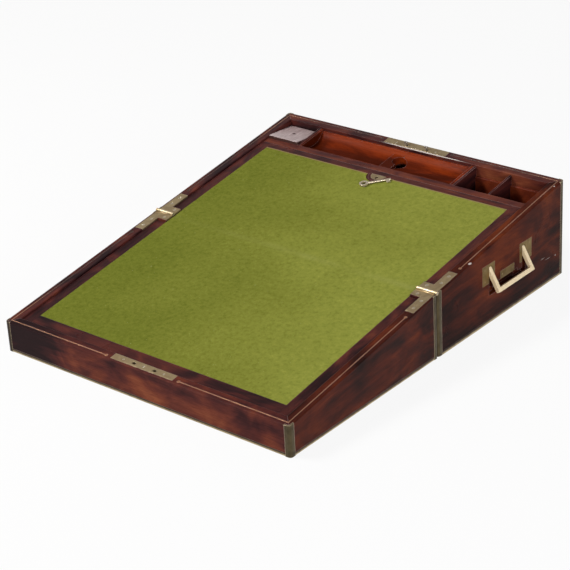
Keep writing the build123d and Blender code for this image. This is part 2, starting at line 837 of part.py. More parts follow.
with BuildPart() as compartment_rail:
    add(under(block(Plane.XY, -inner_x, inner_x, rail_y0, rail_y1, floor_top, back_height), rail_top))
    top = compartment_rail.faces().filter_by(slope).sort_by(Axis.Z)[-1]
    fillet(top.edges().filter_by(Axis.X), arris * 0.7)
    bolt_x = flap_bolt_width / 2 + 2 * flap_bolt_gap
    bolt_level = flap_bottom + flap_case_height / 2
    bolt_room = flap_bolt_height / 2 + 2 * flap_bolt_gap
    pocket_end = rail_front + rail_width / cos(tilt) / 3
    add(
        block(
            slope,
            flap_lock_x - bolt_x,
            flap_lock_x + bolt_x,
            case_s1,
            pocket_end,
            -bolt_level - bolt_room,
            -bolt_level + bolt_room,
        ),
        mode=Mode.SUBTRACT,
    )
save(compartment_rail, "compartment_rail")

with BuildPart() as compartment_dividers:
    for x in (ink_x1, nib_wall_x, nib_x0):
        add(under(block(Plane.XY, x, x + divider, rail_y1, inner_y, floor_top, back_height), rail_top))
    pin_ends = (ink_x1 - wall, ink_x1 + wall)
    add(round_bar(slope, *pin_ends, ink_pivot, -ink_lid_level, ink_pin_radius), mode=Mode.SUBTRACT)
save(compartment_dividers, "compartment_dividers")

with BuildPart() as well_linings:
    back_top = slope.offset(-well_ledge_drop)
    for x0, x1 in ((tray_x1, nib_x0), (nib_x1, inner_x)):
        add(under(block(Plane.XY, x0, x1, inner_y - well_ledge, inner_y, floor_top, back_height), back_top))
    strip = block(
        Plane.XY, inner_x - well_ledge_wide, inner_x, rail_y1, inner_y - well_ledge, floor_top, back_height
    )
    add(under(strip, back_top))
    ink_ledge = block(Plane.XY, ink_x0, ink_x1, rail_y1, rail_y1 + well_ledge, floor_top, back_height)
    add(under(ink_ledge, slope.offset(-ink_lid_level - ink_lid_thickness / 2 - rim_gap)))
save(well_linings, "well_linings")

tray_left = ink_x1 + divider + tray_gap
tray_right = nib_wall_x - tray_gap
tray_y0 = rail_y1 + tray_gap
tray_y1 = inner_y - tray_gap

with BuildPart() as tray_bearers:
    for y0, y1 in ((rail_y1, rail_y1 + tray_bearer), (inner_y - tray_bearer, inner_y)):
        bearer = block(Plane.XY, tray_left, tray_right, y0, y1, floor_top, back_height)
        add(under(bearer, slope.offset(-tray_bottom - rim_gap)))
save(tray_bearers, "tray_bearers")


# ================================================================ pen tray
tray_rim = flap_recess + tray_drop
trough_s = (slope_at(tray_y0, -tray_rim) + slope_at(tray_y1, -tray_rim)) / 2
half_chord = (slope_at(tray_y1, -tray_rim) - slope_at(tray_y0, -tray_rim)) / 2 - tray_lip
trough_radius = (half_chord**2 + tray_sag**2) / (2 * tray_sag)
hole_place = (finger_hole_x, trough_s + finger_hole_behind)
rest_x1 = finger_hole_x
rest_x0 = rest_x1 - rest_length

with BuildPart() as hollow:
    trough_x = (tray_left + tray_end, tray_right - tray_end)
    add(round_bar(slope, *trough_x, trough_s, trough_radius - tray_rim - tray_sag, trough_radius))
    rest_top = -tray_rim - tray_sag + rest_height
    rest_ends = (trough_s - half_chord, trough_s + half_chord)
    add(block(slope, rest_x0, rest_x1, *rest_ends, -tray_bottom, rest_top), mode=Mode.SUBTRACT)

with BuildPart() as pen_tray:
    blank = block(Plane.XY, tray_left, tray_right, tray_y0, tray_y1, floor_top, back_height)
    add(under(blank, rail_top))
    split(bisect_by=slope.offset(-tray_bottom), keep=Keep.TOP)
    over_rims = (slope_at(tray_y0) - wall, slope_at(tray_y1) + wall)
    add(block(slope, *trough_x, *over_rims, -tray_rim, wall), mode=Mode.SUBTRACT)
    add(hollow.part, mode=Mode.SUBTRACT)
    with BuildSketch(slope.offset(-tray_bottom)):
        with Locations(hole_place):
            Circle(finger_hole_radius)
    extrude(amount=tray_bottom, mode=Mode.SUBTRACT)
save(pen_tray, "pen_tray")


# ================================================================ lidded compartment
def ink_pins(radius, reach):
    """The two pivots of the ink lid."""
    left = ink_x0 - ink_pin_reach
    right = ink_x1 + divider
    lid_left = ink_x0 + ink_lid_gap
    lid_right = ink_x1 - ink_lid_gap
    with BuildPart() as pins:
        add(round_bar(slope, left, lid_left + reach, ink_pivot, -ink_lid_level, radius))
        add(round_bar(slope, lid_right - reach, right, ink_pivot, -ink_lid_level, radius))
    return pins.part


with BuildPart() as ink_lid_pins:
    add(ink_pins(ink_pin_radius, ink_pin_reach))
save(ink_lid_pins, "ink_lid_pins")

with BuildPart() as shut_ink_lid:
    ink_front = slope_at(rail_y1, -ink_lid_level) + ink_lid_gap
    ink_level = (-ink_lid_level - ink_lid_thickness / 2, -ink_lid_level + ink_lid_thickness / 2)
    add(block(slope, ink_x0 + ink_lid_gap, ink_x1 - ink_lid_gap, ink_front, ink_back, *ink_level))
    top = shut_ink_lid.faces().sort_by(Axis(slope.origin, slope.z_dir))[-1]
    fillet(top.edges(), arris * 0.5)
    add(ink_pins(ink_pin_radius + ink_pin_clearance, ink_pin_reach + fit_gap), mode=Mode.SUBTRACT)
    with BuildSketch(slope.offset(-ink_lid_level)):
        with Locations(((ink_x0 + ink_x1) / 2, (ink_front + ink_back) / 2)):
            Circle(ink_knob_hole)
    extrude(amount=ink_lid_thickness, both=True, mode=Mode.SUBTRACT)

with BuildPart() as ink_lid:
    pivot_line = Axis(slope.from_local_coords((0, ink_pivot, -ink_lid_level)), (-1, 0, 0))
    add(shut_ink_lid.part.rotate(pivot_line, ink_lid_ajar))
save(ink_lid, "ink_lid")


# ================================================================ writing flaps
flap_start = 0.3  # from the hinge line
flap_lock_s = rail_front - flap_lock_setback
lower_far = slope_at(inner_y, flap_recess) - fit_gap
felt_level = flap_recess - felt_proud
felt_bed = felt_level + felt_thickness


def flap_blank(half, far):
    """A flap in plan: narrow between the hinge leaves, full width beyond them."""
    behind_wall = half * (wall + joint_gap)
    shoulder = max(half * slope_at(behind_wall, n) for n in (0, -flap_bottom)) + 1.5 * fit_gap
    with BuildPart() as blank:
        with BuildSketch(slope.offset(-flap_bottom)):
            Polygon(
                (-felt_half, half * flap_start),
                (felt_half, half * flap_start),
                (felt_half, half * shoulder),
                (flap_half, half * shoulder),
                (flap_half, half * far),
                (-flap_half, half * far),
                (-flap_half, half * shoulder),
                (-felt_half, half * shoulder),
                align=None,
            )
        extrude(amount=flap_thickness)
    return blank.part


def felt_sheet(s0, s1, notched):
    """The felt on one flap, cut round the lock plate where there is one."""
    felt_x = felt_half - flap_start
    with BuildPart() as sheet:
        with BuildSketch(slope.offset(-felt_bed)):
            with Locations((0, (s0 + s1) / 2)):
                Rectangle(2 * felt_x, s1 - s0)
            if notched:
                with Locations((flap_lock_x, flap_lock_s)):
                    Circle(flap_lock_radius + flap_notch_margin, mode=Mode.SUBTRACT)
        extrude(amount=felt_thickness)
    return sheet.part


with BuildPart() as upper_felt:
    add(felt_sheet(flap_start, upper_far - flap_border_top, True))
save(upper_felt, "upper_felt")

with BuildPart() as lower_felt:
    add(felt_sheet(-lower_far + flap_border_bottom, -flap_start, False))
save(lower_felt, "lower_felt")


def flap_keyhole_cut(n0):
    """The keyhole of the flap lock, from a level up through its plate."""
    eye_s = flap_lock_s - flap_keyhole_up
    with BuildPart() as hole:
        with BuildSketch(slope.offset(n0)):
            with Locations((flap_lock_x, eye_s)):
                Circle(flap_keyhole)
            with Locations((flap_lock_x, eye_s - flap_keyhole)):
                Rectangle(flap_keyhole_slot, 2 * flap_keyhole)
        extrude(amount=-n0)
    return hole.part


def half_disc(plate_bottom):
    """The D-shaped plate of the flap lock."""
    with BuildPart() as disc:
        with BuildSketch(slope.offset(-plate_bottom)):
            with Locations((flap_lock_x, flap_lock_s)):
                Circle(flap_lock_radius)
            with Locations((flap_lock_x, flap_lock_s + flap_lock_radius)):
                Rectangle(3 * flap_lock_radius, 2 * flap_lock_radius, mode=Mode.SUBTRACT)
        extrude(amount=flap_lock_plate)
    return disc.part


plate_bottom = flap_recess + flap_lock_plate
bolt_top = -flap_bottom - (flap_case_height - flap_bolt_height) / 2

with BuildPart() as upper_flap_board:
    add(flap_blank(1, rail_front))
    beyond_y = rail_y0 - fit_gap
    add(
        block(Plane.XY, -half_width, half_width, beyond_y, inner_y, 0, back_height),
        mode=Mode.SUBTRACT,
    )
    add(felt_sheet(flap_start / 2, upper_far - flap_border_top, True), mode=Mode.SUBTRACT)
    add(half_disc(plate_bottom), mode=Mode.SUBTRACT)
    add(flap_keyhole_cut(-flap_bottom - 1), mode=Mode.SUBTRACT)
save(upper_flap_board, "upper_flap_board")

with BuildPart() as lower_flap_board:
    add(flap_blank(-1, lower_far))
    add(felt_sheet(-lower_far + flap_border_bottom, -flap_start / 2, False), mode=Mode.SUBTRACT)
save(lower_flap_board, "lower_flap_board")

with BuildPart() as flap_lock_plate_piece:
    add(half_disc(plate_bottom))
    add(flap_keyhole_cut(-flap_bottom), mode=Mode.SUBTRACT)
save(flap_lock_plate_piece, "flap_lock_plate")

bolt_s0 = case_s1 - flap_bolt_length
bolt_side = flap_bolt_width / 2

with BuildPart() as flap_bolt:
    bolt_x = (flap_lock_x - bolt_side, flap_lock_x + bolt_side)
    add(block(slope, *bolt_x, bolt_s0, case_s1, bolt_top - flap_bolt_height, bolt_top))
save(flap_bolt, "flap_bolt")

with BuildPart() as flap_lock_case:
    case_x = (flap_lock_x - flap_case_width / 2, flap_lock_x + flap_case_width / 2)
    case_bottom_level = -flap_bottom - flap_case_height
    add(block(slope, *case_x, case_s1 - flap_case_length, case_s1, case_bottom_level, -flap_bottom))
    channel_side = bolt_side + flap_bolt_gap
    channel_x = (flap_lock_x - channel_side, flap_lock_x + channel_side)
    channel_n = (bolt_top - flap_bolt_height - flap_bolt_gap, bolt_top + flap_bolt_gap)
    channel_s = (case_s1 - flap_case_length + flap_case_wall, case_s1 + wall)
    add(block(slope, *channel_x, *channel_s, *channel_n), mode=Mode.SUBTRACT)
    add(flap_keyhole_cut(bolt_top), mode=Mode.SUBTRACT)
save(flap_lock_case, "flap_lock_case")


# ================================================================ key
with BuildPart() as key:
    key_level = key_collar_radius + key_gap - felt_level
    bow = slope.from_local_coords((flap_lock_x + key_beside, flap_lock_s - key_below, key_level))
    pointing = slope.x_dir * cos(radians(key_turn)) + slope.y_dir * sin(radians(key_turn))
    lying = Plane(origin=bow, x_dir=pointing, z_dir=slope.z_dir)
    with BuildSketch(lying.offset(-key_bow_thickness / 2)):
        Circle(key_bow_radius)
        Circle(key_bow_hole, mode=Mode.SUBTRACT)
    extrude(amount=key_bow_thickness)
    shank_start = (key_bow_radius + key_bow_hole) / 2
    add(round_bar(lying, shank_start, key_length, 0, 0, key_shank_radius))
    add(round_bar(lying, key_bow_radius, key_bow_radius + key_bit_thickness, 0, 0, key_collar_radius))
    bit_end = key_length - key_bit_setback
    half_bit = key_bit_thickness / 2
    add(block(lying, bit_end - key_bit_length, bit_end, -key_bit_depth, 0, -half_bit, half_bit))
save(key, "key")
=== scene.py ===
import math
import random

import bmesh
import bpy
from mathutils import Matrix, Vector


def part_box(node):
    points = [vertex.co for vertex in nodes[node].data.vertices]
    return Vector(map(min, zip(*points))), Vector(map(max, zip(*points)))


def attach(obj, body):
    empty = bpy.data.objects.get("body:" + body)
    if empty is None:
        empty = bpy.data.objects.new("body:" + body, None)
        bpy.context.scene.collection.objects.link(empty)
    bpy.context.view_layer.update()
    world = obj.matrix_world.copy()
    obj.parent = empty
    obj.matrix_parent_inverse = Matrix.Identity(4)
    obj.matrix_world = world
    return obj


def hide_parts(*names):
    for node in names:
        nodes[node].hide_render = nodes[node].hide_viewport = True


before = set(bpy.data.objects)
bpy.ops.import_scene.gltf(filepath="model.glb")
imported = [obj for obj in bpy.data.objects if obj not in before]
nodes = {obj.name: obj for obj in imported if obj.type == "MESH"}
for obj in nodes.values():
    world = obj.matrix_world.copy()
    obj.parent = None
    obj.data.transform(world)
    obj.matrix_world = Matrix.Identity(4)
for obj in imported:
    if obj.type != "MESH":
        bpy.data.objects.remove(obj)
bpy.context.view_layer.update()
rng = random.Random(7)

# Sizes shared with the solids, in metres
HINGE_Z = 0.0865
BACK_Z = 0.132
HALF_WIDTH = 0.228
HALF_DEPTH = 0.283
TILT = math.atan2(BACK_Z - HINGE_Z, HALF_DEPTH)
FELT_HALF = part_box("upper_felt")[1].x
SLOPE_UP = Vector((0, -math.sin(TILT), math.cos(TILT)))


def on_slope(x, s, n):
    """The point x across, s up the slope from the hinge line and n above the hinge axis."""
    y = s * math.cos(TILT) - n * math.sin(TILT)
    z = HINGE_Z + s * math.sin(TILT) + n * math.cos(TILT)
    return Vector((x, y, z))


def slope_s(point):
    """How far up the slope a point lies."""
    return point.y * math.cos(TILT) + (point.z - HINGE_Z) * math.sin(TILT)


def slope_n(point):
    """How far above the hinge axis a point lies, square to the slope."""
    return (point - Vector((0, 0, HINGE_Z))).dot(SLOPE_UP)


def middle(name):
    """The middle of a CAD node's box."""
    low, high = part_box(name)
    return (low + high) / 2


# ---------------------------------------------------------------- shader building
class Shade:
    """A material whose node tree is built one node at a time."""

    def __init__(self, name, metallic=0.0, specular=0.5, arris=0.0008):
        self.mat = bpy.data.materials.new(name)
        self.mat.use_nodes = True
        self.tree = self.mat.node_tree
        self.tree.nodes.clear()
        out = self.node("OutputMaterial")
        self.bsdf = self.node("BsdfPrincipled")
        self.set("Metallic", metallic)
        self.set("Specular IOR Level", specular)
        self.link(self.bsdf.outputs["BSDF"], out.inputs["Surface"])
        self.place = self.node("TexCoord").outputs["Object"]
        self.soft = self.node("Bevel", samples=6)
        self.soft.inputs["Radius"].default_value = arris

    def set(self, socket, value):
        self.bsdf.inputs[socket].default_value = value

    def node(self, kind, **props):
        made = self.tree.nodes.new("ShaderNode" + kind)
        for key, value in props.items():
            setattr(made, key, value)
        return made

    def link(self, source, target):
        self.tree.links.new(source, target)

    def feed(self, value, socket):
        """Connects an output, or sets a plain value."""
        if isinstance(value, bpy.types.NodeSocket):
            self.link(value, socket)
        elif isinstance(value, tuple) and socket.type == "RGBA":
            socket.default_value = (*value, 1.0)
        else:
            socket.default_value = value

    def stretch(self, scale, turn=(0, 0, 0), shift=(0, 0, 0)):
        """Object coordinates, shifted, turned and then scaled per axis."""
        turned = self.node("Mapping", vector_type="TEXTURE")
        turned.inputs["Location"].default_value = shift
        turned.inputs["Rotation"].default_value = turn
        self.link(self.place, turned.inputs["Vector"])
        scaled = self.node("Mapping")
        scaled.inputs["Scale"].default_value = scale
        self.link(turned.outputs["Vector"], scaled.inputs["Vector"])
        return scaled.outputs["Vector"]

    def turn_sides(self):
        """Beyond the felt on the left and right the wood is banding, laid along Y."""
        split = self.node("SeparateXYZ")
        self.link(self.place, split.inputs[0])
        swapped = self.node("CombineXYZ")
        for source, target in (("X", "Y"), ("Y", "X"), ("Z", "Z")):
            self.link(split.outputs[source], swapped.inputs[target])
        aside = self.math("GREATER_THAN", self.math("ABSOLUTE", split.outputs["X"]), FELT_HALF)
        chosen = self.node("Mix", data_type="VECTOR")
        self.link(aside, chosen.inputs[0])
        self.link(self.place, chosen.inputs[4])
        self.link(swapped.outputs[0], chosen.inputs[5])
        self.place = chosen.outputs[1]

    def noise(self, vector, detail=3.0, rough=0.5, twist=0.0):
        made = self.node("TexNoise")
        for key, value in (("Scale", 1.0), ("Detail", detail), ("Roughness", rough), ("Distortion", twist)):
            made.inputs[key].default_value = value
        self.link(vector, made.inputs["Vector"])
        return made.outputs["Fac"]

    def ramp(self, value, *stops):
        made = self.node("ValToRGB")
        band = made.color_ramp
        while len(band.elements) < len(stops):
            band.elements.new(0.5)
        for element, (position, colour) in zip(band.elements, stops):
            element.position = position
            element.color = (*colour, 1.0)
        self.link(value, made.inputs["Fac"])
        return made.outputs["Color"]

    def math(self, operation, a, b=0.5):
        made = self.node("Math", operation=operation)
        self.feed(a, made.inputs[0])
        self.feed(b, made.inputs[1])
        return made.outputs[0]

    def remap(self, value, low, high, to_low=0.0, to_high=1.0):
        made = self.node("MapRange", interpolation_type="SMOOTHSTEP")
        self.feed(value, made.inputs["Value"])
        for key, number in (("From Min", low), ("From Max", high), ("To Min", to_low), ("To Max", to_high)):
            made.inputs[key].default_value = number
        return made.outputs["Result"]

    def mix(self, factor, a, b, how="MIX"):
        made = self.node("Mix", data_type="RGBA", blend_type=how)
        self.feed(factor, made.inputs[0])
        self.feed(a, made.inputs[6])
        self.feed(b, made.inputs[7])
        return made.outputs[2]

    def multiply(self, shade, by):
        """A colour times another one."""
        return self.mix(1.0, shade, by, "MULTIPLY")

    def blob(self, centre, radii, core=0.15):
        """1 at a place on the object, falling to 0 at the radii along X, Y and Z."""
        away = self.node("VectorMath", operation="SUBTRACT")
        self.link(self.place, away.inputs[0])
        away.inputs[1].default_value = centre
        scaled = self.node("VectorMath", operation="DIVIDE")
        self.link(away.outputs[0], scaled.inputs[0])
        scaled.inputs[1].default_value = radii
        length = self.node("VectorMath", operation="LENGTH")
        self.link(scaled.outputs[0], length.inputs[0])
        return self.remap(length.outputs["Value"], core, 1.0, 1.0, 0.0)

    def axis(self, letter):
        split = self.node("SeparateXYZ")
        self.link(self.place, split.inputs[0])
        return split.outputs[letter]

    def arrises(self, low=0.02, high=0.25):
        """1 on the sharp edges of a solid and 0 on its faces."""
        across = self.node("VectorMath", operation="DOT_PRODUCT")
        self.link(self.soft.outputs["Normal"], across.inputs[0])
        self.link(self.node("NewGeometry").outputs["Normal"], across.inputs[1])
        return self.remap(self.math("SUBTRACT", 1.0, across.outputs["Value"]), low, high)

    def bump(self, height, strength, distance):
        made = self.node("Bump")
        made.inputs["Strength"].default_value = strength
        made.inputs["Distance"].default_value = distance
        self.link(height, made.inputs["Height"])
        self.link(self.soft.outputs["Normal"], made.inputs["Normal"])
        self.link(made.outputs["Normal"], self.bsdf.inputs["Normal"])

    def finish(self, colour, roughness):
        self.feed(colour, self.bsdf.inputs["Base Color"])
        self.feed(roughness, self.bsdf.inputs["Roughness"])
        return self.mat


# ---------------------------------------------------------------- mahogany
DARK = (0.017, 0.0055, 0.0065)
MAROON = (0.044, 0.0115, 0.0115)
RED = (0.090, 0.021, 0.0165)
ORANGE = (0.165, 0.040, 0.021)
GOLD = (0.260, 0.073, 0.032)
FLAME = (0.330, 0.060, 0.010)
# Pale arrises: rubbed wood with a painted highlight on it
RUBBED_AND_HIGHLIGHT = (0.400, 0.250, 0.235)
# Pale: bare chipped wood, and a painted highlight
CHIP_AND_HIGHLIGHT = (0.560, 0.490, 0.450)

GRAIN_RATIO = 10.0
WOOD_ARRIS = 0.0014  # how far in from an edge the rubbing and the painted highlight reach


def along_grain(along, scale, ratio=GRAIN_RATIO):
    """Texture scales for a pattern that is drawn out along one axis."""
    return [scale if letter == along else scale * ratio for letter in "XYZ"]


def mahogany(
    name,
    along,  # the axis that the grain runs along
    seed,  # where in the noise this board lies
    tone=0.0,  # lighter above 0, darker below
    spots=(),  # (centre, radii, tone): places where the board is lighter or darker
    chips_and_highlights=(),  # (centre, radii): bare pale chips in the wood, and painted highlights
    gloss=0.34,  # the middle roughness
    edge_rub_and_highlight=0.5,  # how pale the arrises are, from rubbing and a painted highlight
    turn=0.0,  # turns the grain about X
    specular=0.08,
    flame=0.0,  # how much of the light figure turns to bright orange
    banded=False,  # whether the wood beside the felt is banding
    figure=2.2,  # how drawn out the clouds are
    tint=(1.0, 1.0, 1.0),
):
    """Polished mahogany: ribbons and cloudy figure, fine pores, and arrises paled by rubbing and a painted
    highlight.
    """
    m = Shade(name, specular=specular, arris=WOOD_ARRIS)
    if banded:
        m.turn_sides()
    shift = (seed * 0.37, seed * 0.53, seed * 0.71)
    turned = (turn, 0, 0)
    ribbons = m.noise(m.stretch(along_grain(along, 8.0), turned, shift), 4.0, 0.60, 0.8)
    clouds = m.noise(m.stretch(along_grain(along, 11.0, figure), turned, shift), 3.0, 0.55, 1.3)
    fine = m.noise(m.stretch(along_grain(along, 60.0, 14.0), turned, shift), 2.0, 0.70)
    pores = m.noise(m.stretch(along_grain(along, 110.0, 16.0), turned, shift), 1.0, 0.50)
    level = m.math("ADD", m.math("MULTIPLY", ribbons, 0.34), m.math("MULTIPLY", clouds, 0.66))
    level = m.math("ADD", level, tone)
    for centre, radii, lift in spots:
        level = m.math("ADD", level, m.math("MULTIPLY", m.blob(centre, radii), lift))
    shade = m.ramp(level, (0.34, DARK), (0.43, MAROON), (0.52, RED), (0.64, ORANGE), (0.80, GOLD))
    if flame:
        shade = m.mix(m.remap(level, 0.40, 0.70, flame * 0.35, flame), shade, FLAME)
    shade = m.mix(m.remap(fine, 0.30, 0.70, 0.45, 0.0), shade, m.multiply(shade, (0.45, 0.40, 0.40)))
    shade = m.mix(m.remap(pores, 0.64, 0.74, 0.0, 0.6), shade, DARK)
    shade = m.multiply(shade, tint)
    patches = m.noise(m.stretch((45.0, 45.0, 45.0), (0, 0, 0), shift), 3.0, 0.6)
    patchy = m.remap(patches, 0.38, 0.62, 0.35, 1.0)
    # The arrises turn pale: partly rubbing, partly a painted highlight
    edge = m.math("MULTIPLY", m.math("MULTIPLY", m.arrises(), patchy), edge_rub_and_highlight)
    shade = m.mix(edge, shade, RUBBED_AND_HIGHLIGHT)
    # Bare pale chips, and painted highlights along arrises
    for centre, radii in chips_and_highlights:
        shade = m.mix(m.blob(centre, radii, 0.6), shade, CHIP_AND_HIGHLIGHT)
    smears = m.noise(m.stretch((9.0, 9.0, 9.0), (0, 0, 0), shift), 5.0, 0.6, 0.4)
    m.bump(m.math("ADD", m.math("MULTIPLY", fine, 0.6), pores), 0.10, 0.0004)
    return m.finish(shade, m.remap(smears, 0.3, 0.75, gloss - 0.08, gloss + 0.14))


# ---------------------------------------------------------------- metals and felt
DARKENED_BRASS = (0.030, 0.018, 0.012)
SELVEDGE = (0.330, 0.190, 0.110)
FELT_DEEP = (0.150, 0.170, 0.022)
FELT_OLIVE = (0.196, 0.212, 0.032)
FELT_PALE = (0.250, 0.270, 0.046)
CREASE_RUB_AND_HIGHLIGHT = (0.320, 0.330, 0.100)
FELT_TOP_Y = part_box("upper_felt")[1].y
PIN_HOLE = on_slope(-0.0697, 0.0034, 0.0)  # a dark speck beside the crease


def brass(
    name, base, stain, bright, rough=0.40, arris_rub_and_highlight=0.7, grime=0.55, polish_and_glint=(), darkened=(), metallic=0.85,
    arris=0.0005,
):
    """Old brass: patina in clouds and specks, arrises brighter from rubbing and a painted highlight, and
    fine scratches.

    Each polished place, which also carries a painted glint, and each darkened place is (centre, radii).
    """
    m = Shade(name, metallic=metallic, arris=arris)
    clouds = m.noise(m.stretch((70.0, 70.0, 70.0)), 5.0, 0.62, 0.5)
    specks = m.noise(m.stretch((700.0, 700.0, 700.0)), 2.0, 0.6)
    scratches = m.noise(m.stretch((900.0, 60.0, 900.0)), 3.0, 0.65)
    shade = m.mix(m.remap(clouds, 0.38, 0.66, 0.0, grime), base, stain)
    shade = m.mix(m.remap(specks, 0.60, 0.75, 0.0, 0.35), shade, stain)
    # Polished places, with a painted glint on them
    for centre, radii in polish_and_glint:
        glint = m.math("MULTIPLY", m.blob(centre, radii), m.remap(clouds, 0.3, 0.6, 1.0, 0.5))
        shade = m.mix(glint, shade, bright)
    # Brighter arrises: rubbing, and a painted highlight
    shade = m.mix(m.math("MULTIPLY", m.arrises(), arris_rub_and_highlight), shade, bright)
    # Places that are made darker
    for centre, radii in darkened:
        shade = m.mix(m.math("MULTIPLY", m.blob(centre, radii, 0.7), 0.92), shade, DARKENED_BRASS)
    m.bump(m.math("ADD", scratches, specks), 0.10, 0.0002)
    uneven = m.math("ADD", clouds, m.math("MULTIPLY", scratches, 0.5))
    return m.finish(shade, m.remap(uneven, 0.5, 1.1, rough - 0.1, rough + 0.15))


def felt_material(name):
    """Olive felt: short tangled nap, paler to the upper right and towards the hinge, and along the crease
    paler from rubbing and a painted highlight.
    """
    m = Shade(name, specular=0.04, arris=0.0002)
    broad = m.noise(m.stretch((6.0, 6.0, 6.0)), 4.0, 0.55, 0.4)
    lean = m.math("ADD", m.math("MULTIPLY", m.axis("X"), 1.30), m.math("MULTIPLY", m.axis("Y"), 0.45))
    folded = m.remap(m.math("ABSOLUTE", m.axis("Y")), 0.01, 0.09, 0.16, 0.05)
    light = m.math("ADD", m.math("ADD", m.math("MULTIPLY", broad, 0.7), lean), folded)
    shade = m.ramp(light, (0.12, FELT_DEEP), (0.40, FELT_OLIVE), (0.66, FELT_PALE))
    mottle = m.noise(m.stretch((190.0, 190.0, 190.0)), 5.0, 0.75)
    fibre = m.noise(m.stretch((1500.0, 800.0, 1200.0), (0, 0, 0.6)), 3.0, 0.75, 1.2)
    shade = m.mix(m.remap(mottle, 0.30, 0.55, 0.75, 0.0), shade, m.multiply(shade, (0.66, 0.68, 0.55)))
    shade = m.mix(m.remap(mottle, 0.52, 0.75, 0.0, 0.6), shade, m.multiply(shade, (1.42, 1.38, 1.5)))
    shade = m.mix(m.remap(fibre, 0.50, 0.80, 0.0, 0.6), shade, m.multiply(shade, (1.5, 1.45, 1.7)))
    lint = m.noise(m.stretch((330.0, 330.0, 330.0), (0, 0, 1.1), (0.3, 0.1, 0.2)), 2.0, 0.55)
    shade = m.mix(m.remap(lint, 0.735, 0.77, 0.0, 0.5), shade, (0.420, 0.430, 0.200))
    # Along the crease: rubbing, and a painted highlight where the two sheets' edges meet
    crease = m.remap(m.math("ABSOLUTE", m.axis("Y")), 0.0, 0.009, 1.0, 0.0)
    crease_rub_and_highlight = m.math("MULTIPLY", crease, m.remap(broad, 0.42, 0.62, 0.05, 0.35))
    shade = m.mix(crease_rub_and_highlight, shade, CREASE_RUB_AND_HIGHLIGHT)
    top_edge = m.remap(m.axis("Y"), FELT_TOP_Y - 0.0026, FELT_TOP_Y - 0.0016)
    shade = m.mix(m.math("MULTIPLY", top_edge, 0.6), shade, SELVEDGE)
    shade = m.mix(m.blob(PIN_HOLE, (0.0013, 0.0013, 0.004), 0.3), shade, (0.040, 0.045, 0.012))
    m.bump(m.math("ADD", mottle, fibre), 0.55, 0.0007)
    return m.finish(shade, 0.95)


def steel(name, base, stain, rough=0.42):
    """Old filed metal with brown specks."""
    m = Shade(name, metallic=0.8, arris=0.0004)
    clouds = m.noise(m.stretch((160.0, 160.0, 160.0)), 4.0, 0.6, 0.3)
    shade = m.mix(m.remap(clouds, 0.45, 0.72, 0.0, 0.8), base, stain)
    shade = m.mix(m.math("MULTIPLY", m.arrises(), 0.7), shade, (0.78, 0.74, 0.66))
    m.bump(clouds, 0.18, 0.0003)
    return m.finish(shade, m.remap(clouds, 0.35, 0.7, rough - 0.12, rough + 0.18))


# Places on the brass, as (centre, radii)
KNUCKLE_X = 0.2115
EVERYWHERE = 9.0
# The knuckle ends of the hinges: rubbed polish with a painted glint
hinge_ends = [((side * KNUCKLE_X, 0.0, HINGE_Z), (0.022, 0.0042, 0.008)) for side in (-1, 1)]
left_corner = [((-HALF_WIDTH + 0.0040, -HALF_DEPTH, 0.020), (0.0034, 0.004, 0.060))]
upper_half = [((0.0, 0.0, 0.0046), (EVERYWHERE, EVERYWHERE, 0.0026))]
# The stringing is darker along the back and the left rims
dull_lines = [
    ((0.0, HALF_DEPTH - 0.0060, BACK_Z - 0.0010), (0.2240, 0.0090, 0.0100)),
    ((-HALF_WIDTH + 0.0058, 0.0, HINGE_Z), (0.0050, 0.3400, 0.0600)),
]
plate_brass = brass(
    "plate_brass_patina", (0.440, 0.330, 0.180), (0.200, 0.135, 0.065), (0.820, 0.720, 0.520), 0.40, 0.6,
    polish_and_glint=hinge_ends,
)
dull_brass = brass(
    "handle_plate_patina", (0.200, 0.130, 0.040), (0.095, 0.060, 0.020), (0.420, 0.310, 0.140), 0.46, 0.5
)
strip_brass = brass(
    "strip_brass_patina", (0.085, 0.064, 0.032), (0.034, 0.025, 0.013), (0.560, 0.460, 0.290), 0.42, 0.8,
    darkened=left_corner, arris=0.0016,
)
edge_brass = brass(
    "edge_brass_rubbed_and_highlight", (0.400, 0.310, 0.170), (0.180, 0.125, 0.060), (0.640, 0.530, 0.330), 0.42, 0.8,
    darkened=upper_half,
)
inlay_brass = brass(
    "inlay_brass_line", (0.480, 0.225, 0.110), (0.220, 0.090, 0.045), (0.680, 0.400, 0.240), 0.38, 0.5,
    darkened=dull_lines,
)
bail_brass = brass(
    "bail_brass_bright", (0.960, 0.780, 0.500), (0.740, 0.540, 0.300), (0.980, 0.900, 0.740), 0.40, 0.5,
    grime=0.30, metallic=0.2,
)
screw_metal = brass(
    "screw_heads_bright", (0.560, 0.480, 0.340), (0.260, 0.200, 0.120), (0.950, 0.920, 0.830), 0.34, 0.6,
    grime=0.4,
)
screw_brass = brass(
    "screw_heads_dull", (0.240, 0.165, 0.070), (0.120, 0.080, 0.035), (0.420, 0.330, 0.180), 0.44, 0.4
)
old_steel = steel("old_steel", (0.420, 0.390, 0.350), (0.085, 0.055, 0.035))
key_metal = steel("key_pale_brass", (0.640, 0.540, 0.400), (0.240, 0.170, 0.100), 0.36)
felt = felt_material("felt_olive")

# ---------------------------------------------------------------- which board gets which timber
# Spots are (centre, radii, tone); chips and painted highlights are (centre, radii), all in metres. A side
# board is thinner than THROUGH, so a spot with that radius across it shows on its whole thickness.
SIDE = HALF_WIDTH
FRONT = -HALF_DEPTH
INNER_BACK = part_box("base_back_wall")[0].y
THROUGH = 0.05
